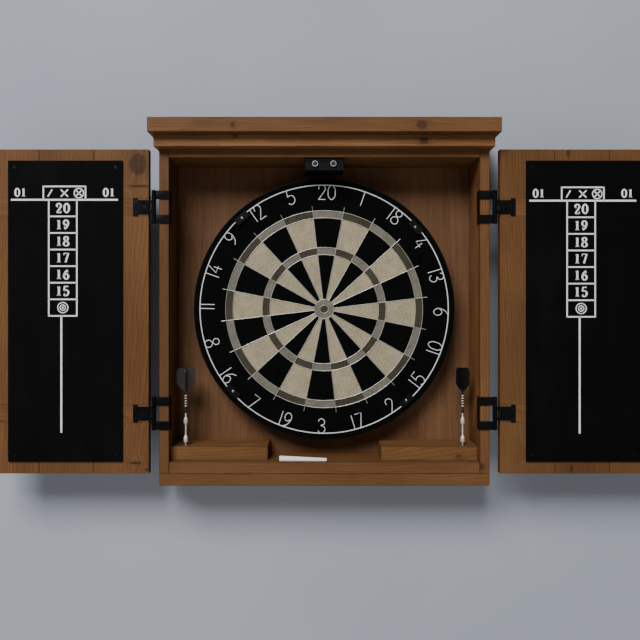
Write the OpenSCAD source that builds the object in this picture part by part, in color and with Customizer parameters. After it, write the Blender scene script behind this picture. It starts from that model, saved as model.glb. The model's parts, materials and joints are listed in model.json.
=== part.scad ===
// Wall-hung dart board cabinet: an open pine box with a bristle board on a bracket,
// two swinging doors with chalkboards, a twin push catch, dart rests and chalk.
// Frame: +Z up, +Y towards the wall, +X to the viewer's right. The origin lies on the
// wall, straight behind the middle of the board. The doors are drawn fully open.

/* [Cabinet box] */
// Width over the two side panels
body_w = 550; // [480:1:680]
// Height of the side panels
body_h = 541; // [480:1:660]
// Depth of the side panels, from the wall to their front edges
body_d = 103; // [98:1:130]
// Thickness of the solid boards
board_t = 16; // [12:1:20]
// Thickness of the top board
top_t = 14; // [12:1:20]
// Thickness of the bottom board
bottom_t = 19; // [12:1:24]
// Thickness of the plywood back panel
back_t = 6; // [4:0.5:9]
// Thickness of the rails behind the back panel
rail_t = 12; // [8:0.5:16]
// Height of each rail
rail_h = 60; // [40:1:80]
// Height of the middle of the board above the bottom board
bull_rise = 255; // [235:1:300]
// Thickness of the base board
base_t = 20; // [12:1:28]

/* [Cornice] */
// Thickness of the lower cornice slab
lower_t = 20; // [14:1:28]
// Thickness of the upper cornice slab
upper_t = 24; // [14:1:28]
// How far the lower slab reaches past the front edges
lower_front = 18; // [10:1:30]
// How far the lower slab reaches past each side
lower_side = 5.5; // [2:0.5:12]
// How much further the upper slab reaches forward
upper_front_step = 16.5; // [6:0.5:24]
// How much further the upper slab reaches at each side
upper_side_step = 6.5; // [2:0.5:12]

/* [Doors] */
// Thickness of the door planks
door_t = 14; // [12:1:22]
// Gap between the two closed doors
door_gap = 2; // [1.5:0.5:6]
// Gap above a closed door
door_top_gap = 1; // [1:0.5:6]
// Gap below a closed door
door_foot_gap = 0.5; // [0.5:0.5:4]
// Planks in each door
plank_count = 3; // [2:1:5]
// Seam between two planks
plank_seam = 0.4; // [0.2:0.1:1]
// Height of each cross batten
batten_h = 30.4; // [20:0.2:50]
// Depth that each batten is let into the planks
batten_t = 8; // [4:1:10]
// Width of each chalkboard
chalkboard_w = 190; // [120:1:195]
// Height of each chalkboard
chalkboard_h = 500; // [300:1:504]
// Thickness of each chalkboard
chalkboard_t = 3; // [2:0.5:4]
// Margin from the hinged edge of a door to its chalkboard
chalkboard_margin = 43; // [42:1:60]
// Margin from the foot of a door to its chalkboard
chalkboard_foot = 20.2; // [17:0.1:22]
// Distance from a chalkboard's edges to its corner screws
chalkboard_screw_inset = 11; // [7:1:20]

/* [Hinges] */
// Thickness of the hinge leaves
leaf_t = 2; // [1.5:0.1:3]
// Gap between the closed door's leaf and the side panel
leaf_gap = 0.3; // [0.3:0.1:1]
// Height of the whole hinge
hinge_h = 54.4; // [45:0.2:80]
// Height of each arm of the frame leaf
arm_h = 14; // [9:0.1:16]
// Outer radius of the knuckles
knuckle_r = 3.8; // [3.4:0.1:4.5]
// Radius of the hinge pin
pin_r = 2; // [1.5:0.1:2.4]
// Running clearance round the pin
pin_clear = 0.05; // [0.02:0.01:0.09]
// Distance from the side panel out to the pin's axis
pin_out = 8.6; // [6:0.1:12]
// From a door's foot to the middle of its lower hinge
hinge_from_foot = 100; // [60:0.5:140]
// From a door's top to the middle of its upper hinge
hinge_from_head = 96; // [60:0.5:140]
// Reach of the door leaf from the pin's axis
door_leaf_reach = 34.4; // [32:0.1:44]
// Height of the door leaf
door_leaf_h = 22.4; // [18:0.1:26]
// Length of the two ears at the far end of the door leaf
ear_len = 7.4; // [5:0.1:8]
// How far each ear stands out above and below
ear_out = 3.2; // [1:0.1:4]
// Depth of the frame leaf's return along the side panel's inner face
return_depth = 15; // [10:1:30]

/* [Dart board] */
// Outside diameter of the board
dartboard_d = 451; // [376:1:451]
// Thickness of the sisal face
sisal_t = 28; // [20:1:32]
// Thickness of the backing disc
backing_t = 10; // [8:1:14]
// Gap between the board and the back panel
board_gap = 5; // [4.6:0.1:8]
// Thickness of the steel band round the board
band_t = 1.5; // [1:0.1:2.5]
// Outside radius of the double ring
double_r = 170; // [140:1:175]
// Outside radius of the treble ring
treble_r = 106.5; // [88:0.5:110]
// Width of the double and treble rings
score_ring_w = 12.5; // [8:0.5:16]
// Radius of the outer bull
bull_r = 16.5; // [12:0.5:20]
// Radius of the inner bull
inner_bull_r = 7; // [5:0.5:9]
// How far the radial wires run past the double ring
wire_overrun = 9; // [2:1:12]
// Width of the spider's wires
wire_w = 1.6; // [1:0.1:2.4]
// Radius of the number ring's wire circle
number_ring_r = 214; // [178:1:216]
// Diameter of the number ring's wire
ring_wire_d = 2.4; // [1.6:0.1:4]
// Turn of the spider from upright, clockwise
spider_turn = 2.3; // [0:0.1:9]
// Turn of the number ring's clips from the diagonals, clockwise
clip_turn = 3; // [0:0.5:9]

/* [Catch] */
// Width of the catch housing
catch_w = 64.5; // [60:0.5:76]
// Height of the catch housing
catch_h = 21; // [16:0.1:24]
// Depth of the catch housing
catch_d = 45; // [40:1:60]
// How far the housing's face lies behind the front edges
catch_set_back = 3; // [1:0.5:6]
// Distance between the two plungers
plunger_pitch = 30.6; // [26:0.1:34]
// Radius of each plunger
plunger_r = 5; // [4:0.1:5.5]
// Length of each plunger
plunger_len = 22; // [16:1:28]
// Running clearance round each plunger
plunger_clear = 0.08; // [0.03:0.01:0.1]
// Travel of each plunger
plunger_travel = 3; // [1:0.5:4]
// Gap between a resting plunger and a closed door's strike plate
strike_gap = 0.3; // [0.3:0.1:1]

/* [Dart rests and darts] */
// Width of each dart rest
rest_w = 163.5; // [100:0.5:190]
// Height of each dart rest
rest_h = 23; // [21:0.5:32]
// How far each dart rest lies behind the front edges
rest_set_back = 17; // [12:1:24]
// Holes in each dart rest
rest_holes = 3; // [1:1:4]
// Distance between the holes of a dart rest
rest_hole_pitch = 45; // [38:1:48]
// Distance from a side panel's inner face to the first hole
rest_hole_edge = 23; // [20:1:30]
// Distance from a dart rest's front to its holes
rest_hole_front = 11; // [8:1:30]
// Radius of each hole
rest_hole_r = 1.6; // [1.4:0.1:2.5]
// Depth of each hole
rest_hole_depth = 20; // [12:1:22]
// Radius of a dart's point
point_r = 1.2; // [0.8:0.1:1.3]
// Length of a dart's point that shows between barrel and rest
point_show = 2.3; // [2:0.1:12]
// Length of a dart's barrel
barrel_len = 52.8; // [42:0.1:60]
// Largest radius of a dart's barrel
barrel_r = 4; // [3:0.1:4.8]
// Length of a dart's shaft
shaft_len = 36.2; // [30:0.1:50]
// Radius of a dart's shaft
shaft_r = 2.2; // [1.6:0.1:3]
// Length of a dart's flight
flight_len = 41; // [26:1:50]
// Width of a dart's flight
flight_w = 31; // [20:1:36]
// Thickness of the flight's fins
flight_t = 0.8; // [0.4:0.1:1.5]
// Turn of the left dart's flight about the dart
left_flight_turn = 6; // [0:1:90]
// Turn of the right dart's flight about the dart
right_flight_turn = 35; // [0:1:90]

/* [Chalk] */
// Length of the chalk
chalk_len = 79; // [40:1:90]
// Diameter of the chalk's thick end
chalk_thick_d = 10; // [8:0.5:11]
// Diameter of the chalk's thin end
chalk_thin_d = 7.5; // [6:0.5:8]
// Place of the chalk's thick end, left of the middle
chalk_left = 75; // [60:1:85]

/* [Fixings] */
// Radius of the small screws' shanks
screw_r = 1.5; // [1.2:0.1:1.8]
// Radius of the small screws' heads
screw_head_r = 2.8; // [2.4:0.1:3]
// Thickness of the small screws' heads
screw_head_t = 0.8; // [0.6:0.1:1]
// Grip of the small screws in the wood
screw_grip = 9; // [6:1:10]
// Clearance round each screw's shank
screw_clear = 0.05; // [0.02:0.01:0.2]
// Radius of the holes for the wall screws
wall_hole_r = 3; // [2.5:0.1:4]
// Distance between the wall screw holes across
wall_hole_pitch_x = 240; // [160:1:260]
// Distance between the wall screw holes up
wall_hole_pitch_z = 300; // [200:1:310]

/* [Hidden] */
$fn = 48;

// The box
inner_w = body_w - 2 * board_t;
z_foot = -bull_rise - bottom_t;
z_head = z_foot + body_h;
z_floor = z_foot + bottom_t;
z_ceiling = z_head - top_t;
inner_h = z_ceiling - z_floor;
y_front = -body_d;
y_panel = -rail_t - back_t;
side_x = body_w / 2;
inner_x = inner_w / 2;

// The hinges and doors. Open, a door's inner face is level with the front edges.
pin_x = side_x + pin_out;
pin_y = y_front - leaf_gap / 2 - leaf_t / 2;
door_edge_x = pin_x + pin_out + 0.2;
door_far_x = 2 * pin_x - door_gap / 2;
door_w = door_far_x - door_edge_x;
door_foot = z_foot + door_foot_gap;
door_head = z_head - door_top_gap;
door_h = door_head - door_foot;
hinge_zs = [door_foot + hinge_from_foot, door_head - hinge_from_head];
window_h = hinge_h - 2 * arm_h;
knuckle_gap = 0.3;
pin_head_t = 0.6;
leaf_h = min(door_leaf_h, window_h - 4);
leaf_front = y_front - leaf_t;
return_t = 1.6;
return_x = inner_x - return_t;
ear_screw_reach = 30;
mid_screw_reach = 15;
ear_screw_z = 10;
chalkboard_x = door_edge_x + chalkboard_margin;
chalkboard_z = max(door_foot + chalkboard_foot, z_floor + 1);

// The board
y_board_rear = y_panel - board_gap;
y_seam = y_board_rear - backing_t;
y_face = y_seam - sisal_t;
board_r = dartboard_d / 2 - band_t;
ring_r = min(number_ring_r, board_r - 10);
face_scale = min(1, board_r / 224);
wire_t = 1.4;
clip_w = 26;
clip_h = 12;
clip_t = 2;
clip_angles = [45, 135, 225, 315];
rivet_r = 2;
ring_y = y_face - ring_wire_d / 2 - 0.1;

// The bracket that the board hangs on
hanger_r = 3;
hanger_clear = 0.05;
hanger_head_r = 6;
hanger_head_t = 1.7;
bracket_t = 1.5;
bracket_w = 70;
bracket_h = 60;
bracket_foot_w = 14;
bracket_face_y = y_board_rear + 1;
bracket_screw_z = 18;
bracket_screw_x = bracket_w / 2 - bracket_foot_w / 2;
bracket_screw_len = back_t + 7;
spacer_r = 12;
spacer_at = 150;
spacer_angles = [30, 150, 270];

// The catch
strike_t = 1.5;
strike_w = 20;
strike_h = 14;
catch_z = z_ceiling - catch_h / 2 - 0.01;
catch_face_y = y_front + catch_set_back;
closed_face_y = y_front - leaf_gap - leaf_t;
plunger_tip_y = closed_face_y + strike_t + strike_gap;
plunger_tail_y = plunger_tip_y + plunger_len;
plunger_x = plunger_pitch / 2;
spring_wire_r = 0.4;
spring_coil_r = 3.4;
spring_turns = 7;
catch_wall = 3;
catch_bore_end = catch_face_y + catch_d - catch_wall;
catch_screw_x = catch_w / 2 - 5.5;
catch_screw_y = catch_face_y + catch_d / 2;
catch_screw_head_r = 2.6;

// The dart rests and the darts
rest_front_y = y_front + rest_set_back;
rest_d = y_panel - rest_front_y;
rest_top = z_floor + rest_h;
rest_hole_y = rest_front_y + rest_hole_front;
rest_hole_xs = [for (i = [0 : rest_holes - 1]) inner_x - rest_hole_edge - i * rest_hole_pitch];
dart_x = rest_hole_xs[0];
point_foot = rest_top - rest_hole_depth;
barrel_foot = rest_top + point_show;
shaft_foot = barrel_foot + barrel_len;
flight_foot = shaft_foot + shaft_len;

// The chalk
chalk_y = y_front + chalk_thick_d / 2 + 0.8;

// A rod along Y from y0 to y1
module rod_y(r, y0, y1) {
    translate([0, y1, 0]) rotate([90, 0, 0]) cylinder(h = y1 - y0, r = r);
}

// A rod along X from x0 to x1
module rod_x(r, x0, x1) {
    translate([x0, 0, 0]) rotate([0, 90, 0]) cylinder(h = x1 - x0, r = r);
}

// A box given by its low and high corners
module block(low, high) {
    translate(low) cube(high - low);
}

// The right-hand piece, or its mirror image on the left
module on_side(side) {
    if (side < 0) mirror([1, 0, 0]) children();
    else children();
}

// ---- Box ----

module side_panel(side) {
    on_side(side) difference() {
        block([inner_x, y_front, z_foot], [side_x, 0, z_head]);
        for (z = hinge_zs, s = [-1, 1])
            translate([0, return_screw_y, z + s * return_screw_z])
                rod_x(screw_r + screw_clear, inner_x - 1, inner_x + screw_grip + 0.1);
    }
}

module top_board() {
    color("sienna") difference() {
        block([-inner_x, y_front, z_ceiling], [inner_x, 0, z_head]);
        for (s = [-1, 1])
            translate([s * catch_screw_x, catch_screw_y, z_ceiling - 1])
                cylinder(h = 1 + screw_grip + 0.1, r = screw_r + screw_clear);
    }
}

module bottom_board() {
    color("sienna") block([-inner_x, y_front, z_foot], [inner_x, 0, z_floor]);
}

module wall_holes() {
    for (x = [-1, 1], z = [-1, 1])
        translate([x * wall_hole_pitch_x / 2, 0, z * wall_hole_pitch_z / 2])
            rod_y(wall_hole_r, y_panel - 1, 1);
}

module bracket_screw_holes() {
    for (x = [-1, 1], z = [-1, 1])
        translate([x * bracket_screw_x, 0, z * bracket_screw_z])
            rod_y(screw_r + screw_clear, y_panel - 1, y_panel + bracket_screw_len + 0.1);
}

module back_panel() {
    color("saddlebrown") difference() {
        block([-inner_x, y_panel, z_floor], [inner_x, y_panel + back_t, z_ceiling]);
        wall_holes();
        bracket_screw_holes();
    }
}

// A rail behind the back panel, with its middle at height z
module rail(z) {
    color("peru") difference() {
        block([-inner_x, -rail_t, z - rail_h / 2], [inner_x, 0, z + rail_h / 2]);
        wall_holes();
        bracket_screw_holes();
    }
}

module upper_rail() rail(wall_hole_pitch_z / 2);
module centre_rail() rail(0);
module lower_rail() rail(-wall_hole_pitch_z / 2);

module base_board() {
    color("sienna") block([-side_x, y_front, z_foot - base_t], [side_x, 0, z_foot]);
}

// One cornice slab, with its reach past the sides and the front
module cornice_slab(z, t, side_reach, front_reach) {
    color("sienna")
        block([-side_x - side_reach, y_front - front_reach, z],
              [side_x + side_reach, 0, z + t]);
}

module cornice_lower() cornice_slab(z_head, lower_t, lower_side, lower_front);
module cornice_upper()
    cornice_slab(z_head + lower_t, upper_t, lower_side + upper_side_step,
                 lower_front + upper_front_step);

module dart_rest(side) {
    color("sienna") on_side(side) difference() {
        block([inner_x - rest_w, rest_front_y, z_floor], [inner_x, y_panel, rest_top]);
        for (x = rest_hole_xs)
            translate([x, rest_hole_y, rest_top - rest_hole_depth])
                cylinder(h = rest_hole_depth + 1, r = rest_hole_r);
    }
}

// ---- Catch ----

module catch_housing() {
    color("black") difference() {
        block([-catch_w / 2, catch_face_y, z_ceiling - catch_h],
              [catch_w / 2, catch_face_y + catch_d, z_ceiling]);
        for (s = [-1, 1]) {
            translate([s * plunger_x, 0, catch_z])
                rod_y(plunger_r + plunger_clear, catch_face_y - 1, catch_bore_end);
            translate([s * catch_screw_x, catch_screw_y, z_ceiling - catch_h - 1])
                cylinder(h = catch_h + 2, r = screw_r + screw_clear);
        }
    }
}

module catch_screws() {
    color("dimgray") for (s = [-1, 1])
        translate([s * catch_screw_x, catch_screw_y, z_ceiling - catch_h - screw_head_t]) {
            cylinder(h = screw_head_t, r = catch_screw_head_r);
            cylinder(h = screw_head_t + catch_h + screw_grip, r = screw_r);
        }
}

// A plunger is a silver sleeve's worth of steel with a recessed magnet face
module catch_plunger(side) {
    color("silver") on_side(side) translate([plunger_x, 0, catch_z]) difference() {
        rod_y(plunger_r, plunger_tip_y, plunger_tail_y);
        rod_y(plunger_r * 0.55, plunger_tip_y - 1, plunger_tip_y + 0.6);
        rod_y(spring_coil_r + spring_wire_r + 0.3, plunger_tail_y - 8, plunger_tail_y + 1);
    }
}

// The coil runs from the plunger's pocket to the blind end of its bore
module catch_spring(side) {
    first = plunger_tail_y - 8 + spring_wire_r + 0.05;
    last = catch_bore_end - spring_wire_r - 0.05;
    steps = spring_turns * 16;
    sides = 6;
    slope = (last - first) / (2 * PI * spring_coil_r * spring_turns);
    points = [for (i = [0 : steps], j = [0 : sides - 1])
        let (a = 360 * spring_turns * i / steps, b = 360 * j / sides,
             r = spring_coil_r + spring_wire_r * cos(b))
        [r * cos(a) - slope * spring_wire_r * sin(b) * sin(a),
         first + (last - first) * i / steps + spring_wire_r * sin(b),
         r * sin(a) + slope * spring_wire_r * sin(b) * cos(a)]];
    walls = [for (i = [0 : steps - 1], j = [0 : sides - 1])
        let (k = (j + 1) % sides)
        [i * sides + j, i * sides + k, (i + 1) * sides + k, (i + 1) * sides + j]];
    color("gray") translate([side * plunger_x, 0, catch_z])
        polyhedron(points, concat(walls, [[for (j = [sides - 1 : -1 : 0]) j]],
                                  [[for (j = [0 : sides - 1]) steps * sides + j]]));
}

// ---- Hinges, drawn for the right-hand side ----

return_screw_y = y_front + return_depth * 0.6;
return_screw_z = hinge_h / 2 - arm_h / 2;

// Two arms cross the panel's front edge from the knuckles to a return on its inner face
module frame_leaf() {
    difference() {
        union() {
            for (s = [-1, 1]) {
                block([return_x, leaf_front, s > 0 ? window_h / 2 : -hinge_h / 2],
                      [pin_x, y_front, s > 0 ? hinge_h / 2 : -window_h / 2]);
                translate([pin_x, pin_y, s > 0 ? window_h / 2 : -hinge_h / 2])
                    cylinder(h = arm_h, r = knuckle_r);
            }
            block([return_x, y_front, -hinge_h / 2],
                  [inner_x, y_front + return_depth, hinge_h / 2]);
        }
        translate([pin_x, pin_y, -hinge_h]) cylinder(h = 2 * hinge_h, r = pin_r + pin_clear);
        for (s = [-1, 1])
            translate([0, return_screw_y, s * return_screw_z])
                rod_x(screw_r + screw_clear, return_x - 1, inner_x + 1);
    }
}

module frame_leaves(side) {
    color("black") on_side(side) for (z = hinge_zs) translate([0, 0, z]) frame_leaf();
}

module frame_leaf_screws(side) {
    color("black") on_side(side) for (z = hinge_zs, s = [-1, 1])
        translate([0, return_screw_y, z + s * return_screw_z]) {
            rod_x(screw_head_r, return_x - screw_head_t, return_x);
            rod_x(screw_r, return_x - screw_head_t, inner_x + screw_grip);
        }
}

module hinge_pins(side) {
    color("black") on_side(side) for (z = hinge_zs) translate([pin_x, pin_y, z]) {
        translate([0, 0, -hinge_h / 2 - pin_head_t])
            cylinder(h = hinge_h + 2 * pin_head_t, r = pin_r);
        for (s = [-1, 1])
            translate([0, 0, s * (hinge_h / 2 + pin_head_t / 2) - pin_head_t / 2])
                cylinder(h = pin_head_t, r = knuckle_r - 0.4);
    }
}

// The door's leaf nests in the frame leaf's window when the door is shut
module door_leaf() {
    knuckle_len = window_h - 2 * knuckle_gap;
    difference() {
        union() {
            block([pin_x, leaf_front, -leaf_h / 2],
                  [pin_x + door_leaf_reach, y_front, leaf_h / 2]);
            block([pin_x + door_leaf_reach - ear_len, leaf_front, -leaf_h / 2 - ear_out],
                  [pin_x + door_leaf_reach, y_front, leaf_h / 2 + ear_out]);
            translate([pin_x, pin_y, -knuckle_len / 2]) cylinder(h = knuckle_len, r = knuckle_r);
        }
        translate([pin_x, pin_y, -hinge_h]) cylinder(h = 2 * hinge_h, r = pin_r + pin_clear);
        block([pin_x + knuckle_r + 0.4, leaf_front - 1, -6], [door_edge_x - 0.4, y_front + 1, 6]);
        for (p = leaf_screw_places) translate([p[0], 0, p[1]]) {
            rod_y(screw_r + screw_clear, leaf_front - 1, y_front + 1);
            rod_y(screw_head_r + screw_clear, leaf_front - 1, leaf_front + screw_head_t);
        }
    }
}

leaf_screw_places = [
    [pin_x + ear_screw_reach, ear_screw_z],
    [pin_x + ear_screw_reach, -ear_screw_z],
    [pin_x + mid_screw_reach, 0]
];

module door_leaves(side) {
    color("black") on_side(side) for (z = hinge_zs) translate([0, 0, z]) door_leaf();
}

// A screw into an open door's inner face, with the front of its head at y
module door_screw(y) {
    rod_y(screw_head_r, y, y + screw_head_t);
    rod_y(screw_r, y, y_front + screw_grip);
}

module door_screw_hole() {
    rod_y(screw_r + screw_clear, y_front - leaf_t - 2, y_front + screw_grip + 0.1);
}

module door_leaf_screws(side) {
    color("dimgray") on_side(side) for (z = hinge_zs, p = leaf_screw_places)
        translate([p[0], 0, z + p[1]]) door_screw(leaf_front);
}

// ---- Doors, drawn open on the right-hand side ----

chalkboard_screw_places = [
    for (a = [0, 1], b = [0, 1])
        [chalkboard_x + chalkboard_screw_inset + a * (chalkboard_w - 2 * chalkboard_screw_inset),
         chalkboard_z + chalkboard_screw_inset + b * (chalkboard_h - 2 * chalkboard_screw_inset)]
];

strike_x = 2 * pin_x - plunger_x;

module door_screw_holes() {
    for (z = hinge_zs, p = leaf_screw_places) translate([p[0], 0, z + p[1]]) door_screw_hole();
    for (p = chalkboard_screw_places) translate([p[0], 0, p[1]]) door_screw_hole();
    translate([strike_x, 0, catch_z]) door_screw_hole();
}

module door_planks(side) {
    plank_w = (door_w - (plank_count - 1) * plank_seam) / plank_count;
    color("sienna") on_side(side) difference() {
        for (i = [0 : plank_count - 1])
            translate([door_edge_x + i * (plank_w + plank_seam), y_front, door_foot])
                cube([plank_w, door_t, door_h]);
        for (z = hinge_zs)
            block([door_edge_x - 1, y_front - 1, z - batten_h / 2],
                  [door_far_x + 1, y_front + batten_t, z + batten_h / 2]);
        door_screw_holes();
    }
}

module door_battens(side) {
    color("sienna") on_side(side) difference() {
        for (z = hinge_zs)
            block([door_edge_x, y_front, z - batten_h / 2],
                  [door_far_x, y_front + batten_t, z + batten_h / 2]);
        door_screw_holes();
    }
}

module chalkboard(side) {
    color("black") on_side(side) difference() {
        block([chalkboard_x, y_front - chalkboard_t, chalkboard_z],
              [chalkboard_x + chalkboard_w, y_front, chalkboard_z + chalkboard_h]);
        for (p = chalkboard_screw_places)
            translate([p[0], 0, p[1]])
                rod_y(screw_r + screw_clear, y_front - chalkboard_t - 1, y_front + 1);
    }
}

module chalkboard_screws(side) {
    color("dimgray") on_side(side) for (p = chalkboard_screw_places)
        translate([p[0], 0, p[1]]) door_screw(y_front - chalkboard_t - screw_head_t);
}

// The strike plate and, through its middle, the flush screw that holds it
module strike_plate(side) {
    color("silver") on_side(side) translate([strike_x, 0, catch_z]) {
        difference() {
            block([-strike_w / 2, y_front - strike_t, -strike_h / 2],
                  [strike_w / 2, y_front, strike_h / 2]);
            rod_y(screw_r + screw_clear, y_front - strike_t - 1, y_front + 1);
        }
        rod_y(screw_r, y_front - strike_t, y_front + screw_grip);
    }
}

// ---- Board and its hanging ----

// The plate stands off the panel on two feet, with a slot open at the top
module hanging_bracket() {
    slot_r = hanger_r + hanger_clear;
    color("gray") difference() {
        union() {
            block([-bracket_w / 2 + bracket_foot_w, bracket_face_y, -bracket_h / 2],
                  [bracket_w / 2 - bracket_foot_w, bracket_face_y + bracket_t, bracket_h / 2]);
            for (s = [0, 1]) mirror([s, 0, 0]) {
                block([bracket_w / 2 - bracket_foot_w - bracket_t, bracket_face_y, -bracket_h / 2],
                      [bracket_w / 2 - bracket_foot_w, y_panel, bracket_h / 2]);
                block([bracket_w / 2 - bracket_foot_w, y_panel - bracket_t, -bracket_h / 2],
                      [bracket_w / 2, y_panel, bracket_h / 2]);
            }
        }
        rod_y(slot_r, bracket_face_y - 1, bracket_face_y + bracket_t + 0.5);
        block([-slot_r, bracket_face_y - 1, 0],
              [slot_r, bracket_face_y + bracket_t + 0.5, bracket_h]);
        for (x = [-1, 1], z = [-1, 1])
            translate([x * bracket_screw_x, 0, z * bracket_screw_z])
                rod_y(screw_r + screw_clear, y_panel - bracket_t - 1, y_panel + 1);
    }
}

module bracket_screws() {
    color("silver") for (x = [-1, 1], z = [-1, 1])
        translate([x * bracket_screw_x, 0, z * bracket_screw_z]) {
            rod_y(screw_head_r, y_panel - bracket_t - screw_head_t, y_panel - bracket_t);
            rod_y(screw_r, y_panel - bracket_t - screw_head_t, y_panel + bracket_screw_len);
        }
}

// The shank turns in the bracket's slot; the head hooks in behind the plate
module hanging_screw() {
    color("silver") {
        rod_y(hanger_r, y_board_rear - backing_t + 2, y_panel - 0.4);
        rod_y(hanger_head_r, y_panel - 0.4 - hanger_head_t, y_panel - 0.4);
    }
}

module rear_spacers() {
    color("black") for (a = spacer_angles)
        translate([spacer_at * cos(a), 0, spacer_at * sin(a)])
            rod_y(spacer_r, y_board_rear, y_panel - 0.3);
}

module board_backing() {
    color("peru") difference() {
        rod_y(board_r, y_seam, y_board_rear);
        rod_y(hanger_r + screw_clear, y_seam + 2, y_board_rear + 1);
    }
}

module sisal_face() {
    color("black") rod_y(board_r, y_face, y_seam);
}

module steel_band() {
    color("black") difference() {
        rod_y(board_r + band_t, y_face + 1, y_board_rear - 1);
        rod_y(board_r, y_face - 1, y_board_rear + 1);
    }
}

// A flat ring of wire on the board's face, with its middle line at radius r
module wire_ring(r) {
    difference() {
        rod_y(r + wire_w / 2, y_face - wire_t, y_face);
        rod_y(r - wire_w / 2, y_face - wire_t - 1, y_face + 1);
    }
}

module spider() {
    color("silver") rotate([0, spider_turn, 0]) union() {
        for (r = [double_r, double_r - score_ring_w, treble_r, treble_r - score_ring_w, bull_r])
            wire_ring(r * face_scale);
        for (i = [0 : 19]) rotate([0, 9 + 18 * i, 0])
            block([-wire_w / 2, y_face - wire_t, bull_r * face_scale],
                  [wire_w / 2, y_face, (double_r + wire_overrun) * face_scale]);
    }
}

module bull_ring() {
    color("silver") wire_ring(inner_bull_r * face_scale);
}

// The clips' own channels hold the ring, so the ring is whole
module number_ring() {
    color("white") translate([0, ring_y, 0]) rotate([90, 0, 0])
        rotate_extrude($fn = 96) translate([ring_r, 0]) circle(r = ring_wire_d / 2, $fn = 16);
}

module ring_clips() {
    color("black") for (a = clip_angles) rotate([0, a + clip_turn, 0]) difference() {
        union() {
            block([-clip_w / 2, ring_y - ring_wire_d / 2 - clip_t, ring_r - clip_h * 0.7],
                  [clip_w / 2, y_face, ring_r + clip_h * 0.3]);
            translate([0, 0, ring_r - 3])
                rod_y(rivet_r, ring_y - ring_wire_d / 2 - clip_t - 0.8, y_face);
        }
        translate([0, ring_y, 0]) rotate([90, 0, 0]) rotate_extrude($fn = 96)
            translate([ring_r, 0]) circle(r = ring_wire_d / 2 + 0.05, $fn = 16);
    }
}

// ---- Darts ----

module at_dart(side) {
    translate([side * dart_x, rest_hole_y, 0]) children();
}

module dart_point(side) {
    color("silver") at_dart(side) {
        translate([0, 0, point_foot + 4])
            cylinder(h = barrel_foot + 6 - point_foot - 4, r = point_r);
        translate([0, 0, point_foot]) cylinder(h = 4, r1 = 0.3, r2 = point_r);
    }
}

// The barrel's outline: two swollen grips and a thin waist between them
barrel_outline = [
    [0, 0.4], [0.03, 0.62], [0.08, 0.95], [0.12, 1], [0.22, 1], [0.26, 0.75], [0.29, 0.5],
    [0.57, 0.45], [0.6, 0.75], [0.63, 0.97], [0.82, 1], [0.86, 0.8], [0.88, 0.5], [1, 0.45]
];

module dart_barrel(side) {
    color("silver") at_dart(side) difference() {
        translate([0, 0, barrel_foot]) rotate_extrude()
            polygon(concat([[0, 0]], [for (p = barrel_outline) [p[1] * barrel_r, p[0] * barrel_len]],
                           [[0, barrel_len]]));
        translate([0, 0, barrel_foot - 1]) cylinder(h = 7, r = point_r);
    }
}

module dart_shaft(side) {
    color("black") at_dart(side) translate([0, 0, shaft_foot]) rotate_extrude()
        polygon([[0, 0], [shaft_r * 0.9, 0], [shaft_r, shaft_len * 0.1], [shaft_r * 0.8, shaft_len * 0.4],
                 [shaft_r * 0.8, shaft_len * 0.8], [shaft_r * 1.1, shaft_len], [0, shaft_len]]);
}

// The right half of a fin pair's outline, as shares of its half width and its length
fin_outline = [[0.04, 0], [0.5, 0.12], [1, 0.34], [1, 0.86], [0.86, 0.96], [0.6, 1]];

// One fin pair: lower edges that open out, straight sides and rounded shoulders
module flight_pair() {
    half = [for (p = fin_outline) [p[0] * flight_w / 2, p[1] * flight_len]];
    last = len(half) - 1;
    rotate([90, 0, 0]) translate([0, 0, -flight_t / 2]) linear_extrude(flight_t)
        polygon(concat(half, [for (i = [last : -1 : 0]) [-half[i][0], half[i][1]]]));
}

module dart_flight(side) {
    color(side > 0 ? "black" : "dimgray") at_dart(side) translate([0, 0, flight_foot])
        rotate([0, 0, side > 0 ? right_flight_turn : left_flight_turn]) union() {
            flight_pair();
            rotate([0, 0, 90]) flight_pair();
        }
}

// ---- Chalk ----

// A tapered stick that lies along one side of its cone
module chalk() {
    tilt = atan((chalk_thick_d - chalk_thin_d) / 2 / chalk_len);
    color("white") translate([-chalk_left, chalk_y, z_floor + chalk_thick_d / 2 * cos(tilt)])
        rotate([0, 90 + tilt, 0]) cylinder(h = chalk_len, r1 = chalk_thick_d / 2, r2 = chalk_thin_d / 2);
}

color("sienna") side_panel(-1);  // left_side_panel
color("sienna") side_panel(1);  // right_side_panel
top_board();
bottom_board();
back_panel();
upper_rail();
centre_rail();
lower_rail();
base_board();
cornice_lower();
cornice_upper();
dart_rest(-1);  // left_dart_rest
dart_rest(1);  // right_dart_rest
catch_housing();
catch_screws();
catch_plunger(-1);  // left_catch_plunger
catch_plunger(1);  // right_catch_plunger
catch_spring(-1);  // left_catch_spring
catch_spring(1);  // right_catch_spring
frame_leaves(-1);  // left_frame_leaves
frame_leaves(1);  // right_frame_leaves
frame_leaf_screws(-1);  // left_frame_leaf_screws
frame_leaf_screws(1);  // right_frame_leaf_screws
hinge_pins(-1);  // left_hinge_pins
hinge_pins(1);  // right_hinge_pins
door_leaves(-1);  // left_door_leaves
door_leaves(1);  // right_door_leaves
door_leaf_screws(-1);  // left_door_leaf_screws
door_leaf_screws(1);  // right_door_leaf_screws
door_planks(-1);  // left_door_planks
door_planks(1);  // right_door_planks
door_battens(-1);  // left_door_battens
door_battens(1);  // right_door_battens
chalkboard(-1);  // left_chalkboard
chalkboard(1);  // right_chalkboard
chalkboard_screws(-1);  // left_chalkboard_screws
chalkboard_screws(1);  // right_chalkboard_screws
strike_plate(-1);  // left_strike_plate
strike_plate(1);  // right_strike_plate
hanging_bracket();
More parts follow.
